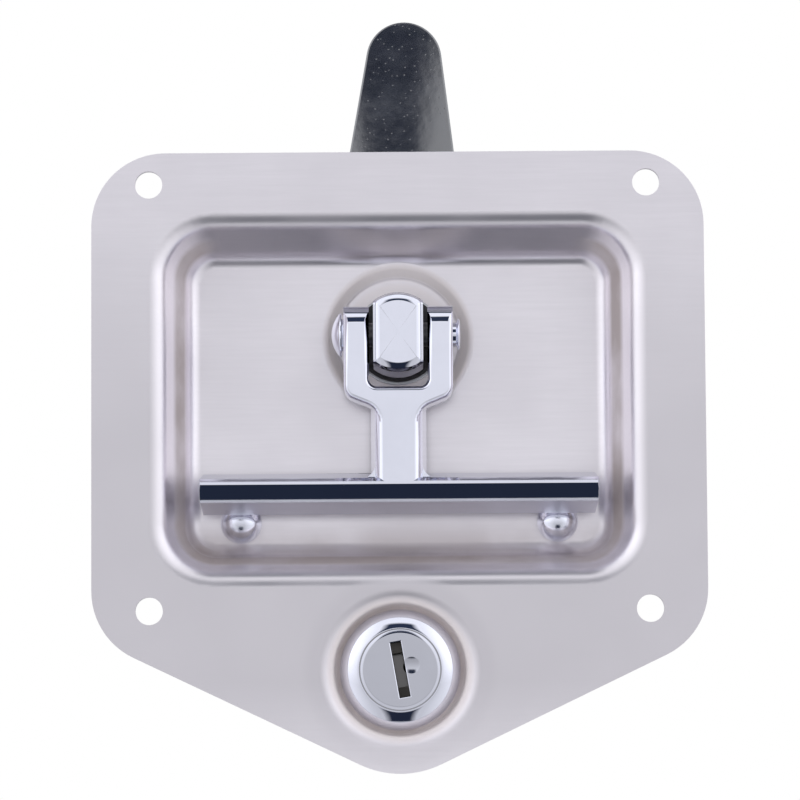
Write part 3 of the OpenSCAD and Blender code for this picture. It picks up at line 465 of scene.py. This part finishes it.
def cam_paint(finish):
    """Sprayed gloss black over a soft crown, with orange peel and dust nibs."""
    material, tree, shader, place = material_base("cam_paint")
    peel = effect(tree, "Surface ripple", place, scale=520.0)
    axes = put(tree, "ShaderNodeSeparateXYZ", {"Vector": place})
    colour = blend_colour(tree, ramp(tree, peel.outputs["Patch"], 0.3, 0.7, 0.0, 1.0),
                          finish.paint, toned(finish.paint, 1.8))
    tree.links.new(colour, shader.inputs["Base Color"])
    tree.links.new(ramp(tree, peel.outputs["Patch"], 0.3, 0.7, 0.10, 0.18), shader.inputs["Roughness"])
    shader.inputs["IOR"].default_value = 2.5
    rise = maths(tree, "SUBTRACT", axes.outputs["Z"], 0.047)
    lean = maths(tree, "ADD", maths(tree, "MULTIPLY", rise, 0.067), 0.00045)
    across = maths(tree, "ADD", axes.outputs["X"], lean)
    curve = maths(tree, "SUBTRACT", maths(tree, "MULTIPLY", rise, 183.0), 9.9)
    crown = maths(tree, "ADD", maths(tree, "MULTIPLY", maths(tree, "POWER", across, 2.0), curve),
                  maths(tree, "MULTIPLY", axes.outputs["Z"], -0.09))
    nib = put(tree, "ShaderNodeTexVoronoi", {"Vector": place, "Scale": 900.0}).outputs["Distance"]
    grit = maths(tree, "ADD", maths(tree, "MULTIPLY", peel.outputs["Height"], 0.00003),
                 ramp(tree, nib, 0.03, 0.15, 0.00003, 0.0))
    bump(tree, shader, maths(tree, "ADD", crown, grit), 1.0, 1.0)
    return material


def plated_metal(name, colour, rough_low, rough_high, line_scale):
    """Dull plated or plain metal for the working pieces behind the dish."""
    material, tree, shader, place = material_base(name)
    grain = effect(tree, "Rolled grain", place, line_scale=line_scale, cloud_scale=140.0)
    tone = blend_colour(tree, ramp(tree, grain.outputs["Cloud"], 0.3, 0.7, 0.0, 1.0),
                        toned(colour, 0.82), colour)
    tree.links.new(tone, shader.inputs["Base Color"])
    shader.inputs["Metallic"].default_value = 1.0
    rough = ramp(tree, grain.outputs["Cloud"], 0.3, 0.7, rough_low, rough_high)
    tree.links.new(rough, shader.inputs["Roughness"])
    bump(tree, shader, grain.outputs["Height"], 0.1, 0.0002)
    return material


def seal_rubber(finish):
    """Matt black rubber with a dusty bloom."""
    material, tree, shader, place = material_base("seal_rubber")
    ripple = effect(tree, "Surface ripple", place, scale=900.0)
    colour = blend_colour(tree, ramp(tree, ripple.outputs["Patch"], 0.45, 0.8, 0.0, 1.0),
                          finish.rubber, (0.06, 0.06, 0.062))
    tree.links.new(colour, shader.inputs["Base Color"])
    tree.links.new(ramp(tree, ripple.outputs["Patch"], 0.3, 0.7, 0.55, 0.75), shader.inputs["Roughness"])
    bump(tree, shader, ripple.outputs["Height"], 0.2, 0.0002)
    return material


MARKED = {"lock_housing": barrel_mark, "spindle": spindle_mark, "pivot_pin": pin_mark, "t_handle": bar_mark,
          "rest_studs": stud_mark, "lock_plug": slot_mark}
FINISH_NAMES = {"satin_stainless": "pressed_stainless", "polished_chrome": "chrome_plate",
                "black_paint": "cam_paint", "zinc_plate": "zinc_plate", "black_rubber": "seal_rubber",
                "plain_brass": "plain_brass"}


def finish_of(slot, node):
    """The material for one of the record's slots, made once, or for a node with marks of its own."""
    if "Rolled grain" not in bpy.data.node_groups:
        rolled_grain_group()
        ripple_group()
    finish = bpy.context.scene.latch_finish
    if node in MARKED:
        return chrome_plate(finish, node + "_chrome", MARKED[node])
    # The wafers are painted dark grey for the shade inside the key slot.
    if node == "wafer_tumblers":
        return plated_metal("oiled_wafers", (0.13, 0.122, 0.112), 0.4, 0.55, 700.0)
    if FINISH_NAMES[slot] in bpy.data.materials:
        return bpy.data.materials[FINISH_NAMES[slot]]
    if slot == "satin_stainless":
        return pressed_stainless(finish)
    if slot == "polished_chrome":
        return chrome_plate(finish)
    if slot == "black_paint":
        return cam_paint(finish)
    if slot == "black_rubber":
        return seal_rubber(finish)
    if slot == "plain_brass":
        return plated_metal("plain_brass", finish.brass, 0.25, 0.4, 700.0)
    return plated_metal("zinc_plate", finish.zinc, 0.3, 0.46, 900.0)


def finished_object(name, bm, slot, body, node, crease=50.0):
    """Turns a bmesh into a smooth-shaded piece with its finish, riding on its body.

    The crease is an angle in degrees, or a function that gives one for the middle of an edge.
    """
    for face in bm.faces:
        face.smooth = True
    for edge in bm.edges:
        limit = crease(edge.verts[0].co.lerp(edge.verts[1].co, 0.5)) if callable(crease) else crease
        edge.smooth = len(edge.link_faces) == 2 and edge.calc_face_angle() < math.radians(limit)
    mesh = bpy.data.meshes.new(name)
    bm.to_mesh(mesh)
    bm.free()
    piece = bpy.data.objects.new(name, mesh)
    bpy.context.scene.collection.objects.link(piece)
    mesh.materials.append(finish_of(slot, node))
    weighted = piece.modifiers.new("Weighted normals", "WEIGHTED_NORMAL")
    weighted.keep_sharp = True
    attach(piece, body)
    return piece


def node_mesh(node):
    """A merged copy of a CAD node."""
    bm = bmesh.new()
    bm.from_mesh(frame["nodes"][node].data)
    bmesh.ops.remove_doubles(bm, verts=bm.verts, dist=0.000002)
    return bm


def flat_faces(bm):
    """Joins the triangles of each flat face."""
    bmesh.ops.dissolve_limit(bm, angle_limit=math.radians(0.3), verts=bm.verts, edges=bm.edges)


def rounded(bm, width, sharp, segments, chosen=None):
    """Rounds the edges that are sharper than an angle, or those of them that the test chooses."""
    edges = [e for e in bm.edges if len(e.link_faces) == 2 and e.calc_face_angle() > math.radians(sharp)
             and (chosen is None or all(chosen(v.co) for v in e.verts))]
    bmesh.ops.bevel(bm, geom=edges, offset=width, offset_type="OFFSET", affect="EDGES",
                    segments=segments, profile=0.5, material=-1, clamp_overlap=True)


def new_rim(bm, faces, width):
    """Insets flat faces by a width and gives their old outline, which can then be set back."""
    border = bmesh.ops.inset_region(bm, faces=faces, thickness=width, use_even_offset=True)["faces"]
    inside = {v for f in faces for v in f.verts}
    return list({v for f in border for v in f.verts} - inside)


def set_lock_radius(vert, radius, wanted):
    """Moves a point from one distance to another from the lock's axis."""
    vert.co.x *= wanted / radius
    vert.co.z = LOCK_Z + (vert.co.z - LOCK_Z) * wanted / radius


def stand_in(node, bm, crease=50.0):
    """The finished piece that stands for a CAD node."""
    piece = finished_object(node + "_dressed", bm, SLOT_OF[node], BODY_OF[node], node, crease)
    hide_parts(node)
    return piece


def dressed(node, width, sharp=30.0, segments=2):
    """A CAD node with its sharp edges rounded."""
    bm = node_mesh(node)
    if width > 0:
        flat_faces(bm)
        rounded(bm, width, sharp, segments)
    return stand_in(node, bm)


class LATCH_OT_dish(bpy.types.Operator):
    """Dress the pressed dish and its flange."""

    bl_idname = "latch.dish"
    bl_label = "Pressed Dish"

    def execute(self, context):
        dressed("dish", context.scene.latch_detail.sheet_edge, sharp=50)
        return {"FINISHED"}


class LATCH_OT_handle(bpy.types.Operator):
    """Dress the folding T-handle and its pivot pin."""

    bl_idname = "latch.handle"
    bl_label = "Folding Handle"

    def execute(self, context):
        detail = context.scene.latch_detail
        bm = node_mesh("t_handle")
        flat_faces(bm)
        reach = max(v.co.x for v in bm.verts)
        for vert in bm.verts:
            if vert.co.z < BAR_TOP and abs(vert.co.x) > reach - BAR_END:
                vert.co.x = math.copysign(reach - (reach - abs(vert.co.x)) * BAR_TAPER, vert.co.x)
        rounded(bm, detail.casting_edge, 18.0, 2, lambda at: at.z < BAR_TOP)
        stand_in("t_handle", bm, crease=lambda at: 30.0 if at.z > PRONG_ROUND else 50.0)
        dressed("pivot_pin", detail.turned_edge)
        return {"FINISHED"}


class LATCH_OT_spindle(bpy.types.Operator):
    """Dress the spindle, its bush and its seal."""

    bl_idname = "latch.spindle"
    bl_label = "Spindle"

    def execute(self, context):
        detail = context.scene.latch_detail
        bm = node_mesh("spindle")
        flat_faces(bm)
        front = [f for f in bm.faces if all(v.co.y < HUB_FRONT for v in f.verts)]
        bmesh.ops.delete(bm, geom=front, context="FACES")
        bmesh.ops.remove_doubles(bm, verts=[v for v in bm.verts if v.co.y < HUB_FRONT], dist=HUB_CORNER)
        outline = sorted((v for v in bm.verts if v.co.y < HUB_FRONT and v.link_faces),
                         key=lambda v: math.atan2(v.co.z - SPINDLE_Z, v.co.x))
        bmesh.ops.delete(bm, geom=[e for e in bm.edges if not e.link_faces], context="EDGES")
        front = [bm.faces.new(outline)]
        front[0].normal_update()
        foot = [v for v in bm.verts if abs(v.co.y - HUB_FOOT) < 0.00005]
        bmesh.ops.scale(bm, verts=outline, vec=(HUB_SPREAD, 1.0, HUB_SPREAD),
                        space=Matrix.Translation((0.0, 0.0, -SPINDLE_Z)))
        rim = new_rim(bm, front, HUB_RIM)
        step = new_rim(bm, front, HUB_STEP)
        for verts, back in ((step, STEP_BACK), (rim, RIM_BACK), (foot, FOOT_BACK)):
            bmesh.ops.translate(bm, verts=verts, vec=(0.0, back, 0.0))
        bmesh.ops.poke(bm, faces=front)
        stand_in("spindle", bm, crease=lambda middle: 5.0 if middle.y < HUB_FRONT else 40.0)
        dressed("spindle_bush", detail.turned_edge)
        dressed("spindle_seal", 0)
        return {"FINISHED"}


class LATCH_OT_studs(bpy.types.Operator):
    """Dress the two rest studs."""

    bl_idname = "latch.studs"
    bl_label = "Rest Studs"

    def execute(self, context):
        dressed("rest_studs", context.scene.latch_detail.turned_edge)
        return {"FINISHED"}


class LATCH_OT_lock(bpy.types.Operator):
    """Dress the key lock."""

    bl_idname = "latch.lock"
    bl_label = "Key Lock"

    def execute(self, context):
        detail = context.scene.latch_detail
        bm = node_mesh("lock_housing")
        for vert in bm.verts:
            radius = math.hypot(vert.co.x, vert.co.z - LOCK_Z)
            if vert.co.y < BEZEL_BACK and radius > BEZEL_CUT:
                out = min((radius - BEZEL_FROM) * BEZEL_GROWTH, BEZEL_WIDTH)
                set_lock_radius(vert, radius, BEZEL_TO + out)
                dome = BEZEL_DOME * (1.0 - math.sqrt(1.0 - (out / BEZEL_WIDTH) ** 2))
                vert.co.y = BEZEL_LEAN * out - BEZEL_LIP + dome
        stand_in("lock_housing", bm, crease=40.0)
        bm = node_mesh("lock_plug")
        front = min(v.co.y for v in bm.verts) + 0.00001
        rounded(bm, detail.turned_edge * 1.4, 60.0, 2,
                lambda at: at.y < front and math.hypot(at.x, at.z - LOCK_Z) < SLOT_REACH)
        for vert in bm.verts:
            radius = math.hypot(vert.co.x, vert.co.z - LOCK_Z)
            if vert.co.y < front and radius > PLUG_RING:
                set_lock_radius(vert, radius, RING_RADIUS)
            elif vert.co.y < front + RING_DEPTH and radius > PLUG_RING:
                vert.co.y = front + (radius - RING_RADIUS) * RING_SLOPE
        stand_in("lock_plug", bm, crease=20.0)
        for node in ("wafer_tumblers", "wafer_springs"):
            dressed(node, 0)
        return {"FINISHED"}


class LATCH_OT_cam(bpy.types.Operator):
    """Dress the painted cam."""

    bl_idname = "latch.cam"
    bl_label = "Cam"

    def execute(self, context):
        dressed("cam", context.scene.latch_detail.sheet_edge * 3.0, segments=5)
        return {"FINISHED"}


class LATCH_OT_back(bpy.types.Operator):
    """Dress the nuts, washers and tail behind the dish."""

    bl_idname = "latch.back"
    bl_label = "Back Hardware"

    def execute(self, context):
        detail = context.scene.latch_detail
        for node in ("bush_nut", "lock_washer", "lock_nut", "thrust_washer", "spring_washer", "lock_plate",
                     "cam_washer", "cam_nut", "plug_clip", "tail_lever", "tail_washer", "tail_screw"):
            dressed(node, detail.turned_edge)
        return {"FINISHED"}


class LATCH_OT_stage(bpy.types.Operator):
    """Set the camera, the white studio and the pale floor."""

    bl_idname = "latch.stage"
    bl_label = "Stage"

    def execute(self, context):
        stage = context.scene.latch_stage
        context.scene.view_settings.view_transform = "Standard"
        self.camera(context, stage)
        self.studio(context, stage)
        self.floor(context)
        return {"FINISHED"}

    def camera(self, context, stage):
        data = bpy.data.cameras.new("latch_camera")
        data.sensor_width = 36.0
        data.lens = 36.0 * stage.distance / stage.view_width
        data.clip_start = 0.05
        data.clip_end = 50.0
        camera = bpy.data.objects.new("latch_camera", data)
        context.scene.collection.objects.link(camera)
        back = Vector((0.0, -math.cos(stage.elevation), math.sin(stage.elevation)))
        turn = (-back).to_track_quat("-Z", "Y").to_matrix().to_4x4() @ Matrix.Rotation(stage.roll, 4, "Z")
        camera.matrix_world = Matrix.Translation(Vector(stage.target) + back * stage.distance) @ turn
        context.scene.camera = camera

    def studio(self, context, stage):
        world = bpy.data.worlds.new("latch_studio")
        context.scene.world = world
        world.use_nodes = True
        tree = world.node_tree
        tree.nodes.clear()
        way = put(tree, "ShaderNodeTexCoord").outputs["Generated"]
        axes = put(tree, "ShaderNodeSeparateXYZ", {"Vector": way})
        wide = maths(tree, "ABSOLUTE", axes.outputs["X"])
        below = band(tree, axes.outputs["Z"], *ZONE_BELOW)
        above = band(tree, axes.outputs["Z"], *ZONE_ABOVE)
        ceiling = ramp(tree, axes.outputs["Z"], 0.93, 0.97, 0.0, 1.0)
        front = maths(tree, "MULTIPLY", ramp(tree, axes.outputs["Y"], -0.15, 0.10, 1.0, 0.0),
                      ramp(tree, wide, 0.16, 0.28, 1.0, 0.0))
        shade = maths(tree, "MULTIPLY", maths(tree, "MAXIMUM", below, above), front)
        dark = maths(tree, "MAXIMUM", shade, ceiling)
        room = blend_colour(tree, dark, stage.room_front, stage.room_dark)
        sides = ramp(tree, wide, 0.35, 0.85, 1.0, stage.side_light)
        upper = ramp(tree, axes.outputs["Z"], -0.20, 0.30, stage.room_light * 0.82, stage.room_light * 1.3)
        behind = ramp(tree, axes.outputs["Y"], 0.1, 0.6, 1.0, 0.68)
        power = maths(tree, "MULTIPLY", maths(tree, "MULTIPLY", sides, upper), behind)
        lit = put(tree, "ShaderNodeBackground", {"Color": room, "Strength": power})
        white = put(tree, "ShaderNodeBackground", {"Color": (1.0, 1.0, 1.0, 1.0), "Strength": 1.0})
        ray = put(tree, "ShaderNodeLightPath")
        mix = put(tree, "ShaderNodeMixShader", {
            0: ray.outputs["Is Camera Ray"], 1: lit.outputs[0], 2: white.outputs[0]})
        out = put(tree, "ShaderNodeOutputWorld", {"Surface": mix.outputs[0]})
        out.is_active_output = True

    def floor(self, context):
        bm = bmesh.new()
        bmesh.ops.create_circle(bm, cap_ends=True, segments=96, radius=1.2)
        bmesh.ops.translate(bm, verts=bm.verts, vec=(0.0, 0.0, -0.30))
        mesh = bpy.data.meshes.new("studio_floor")
        bm.to_mesh(mesh)
        bm.free()
        floor = bpy.data.objects.new("studio_floor", mesh)
        context.scene.collection.objects.link(floor)
        material, _, shader, _ = material_base("studio_paper")
        shader.inputs["Base Color"].default_value = (0.86, 0.86, 0.86, 1.0)
        shader.inputs["Roughness"].default_value = 0.9
        mesh.materials.append(material)
        floor.visible_glossy = False


class LATCH_PT_panel(bpy.types.Panel):
    """Lists the latch's pieces, finishes and stage."""

    bl_idname = "LATCH_PT_panel"
    bl_label = "Trailer Door Latch"
    bl_space_type = "VIEW_3D"
    bl_region_type = "UI"
    bl_category = "Latch"

    def draw(self, context):
        for operator in PIECES:
            self.layout.operator(operator.bl_idname)
        for group in (context.scene.latch_finish, context.scene.latch_detail, context.scene.latch_stage):
            box = self.layout.box()
            for name in group.bl_rna.properties.keys():
                if name not in ("rna_type", "name"):
                    box.prop(group, name)


PIECES = (LATCH_OT_dish, LATCH_OT_handle, LATCH_OT_spindle, LATCH_OT_studs, LATCH_OT_lock, LATCH_OT_cam,
          LATCH_OT_back, LATCH_OT_stage)
CLASSES = (LatchFinish, LatchDetail, LatchStage, *PIECES, LATCH_PT_panel)


def register():
    """Registers the classes and their settings on the scene."""
    for cls in CLASSES:
        bpy.utils.register_class(cls)
    bpy.types.Scene.latch_finish = bpy.props.PointerProperty(type=LatchFinish)
    bpy.types.Scene.latch_detail = bpy.props.PointerProperty(type=LatchDetail)
    bpy.types.Scene.latch_stage = bpy.props.PointerProperty(type=LatchStage)


def unregister():
    """Removes the settings and the classes."""
    del bpy.types.Scene.latch_stage
    del bpy.types.Scene.latch_detail
    del bpy.types.Scene.latch_finish
    for cls in reversed(CLASSES):
        bpy.utils.unregister_class(cls)


def main():
    """Builds the pieces in order."""
    register()
    bpy.ops.latch.dish()
    bpy.ops.latch.handle()
    bpy.ops.latch.spindle()
    bpy.ops.latch.studs()
    bpy.ops.latch.lock()
    bpy.ops.latch.cam()
    bpy.ops.latch.back()
    bpy.ops.latch.stage()


if __name__ == "__main__":
    main()
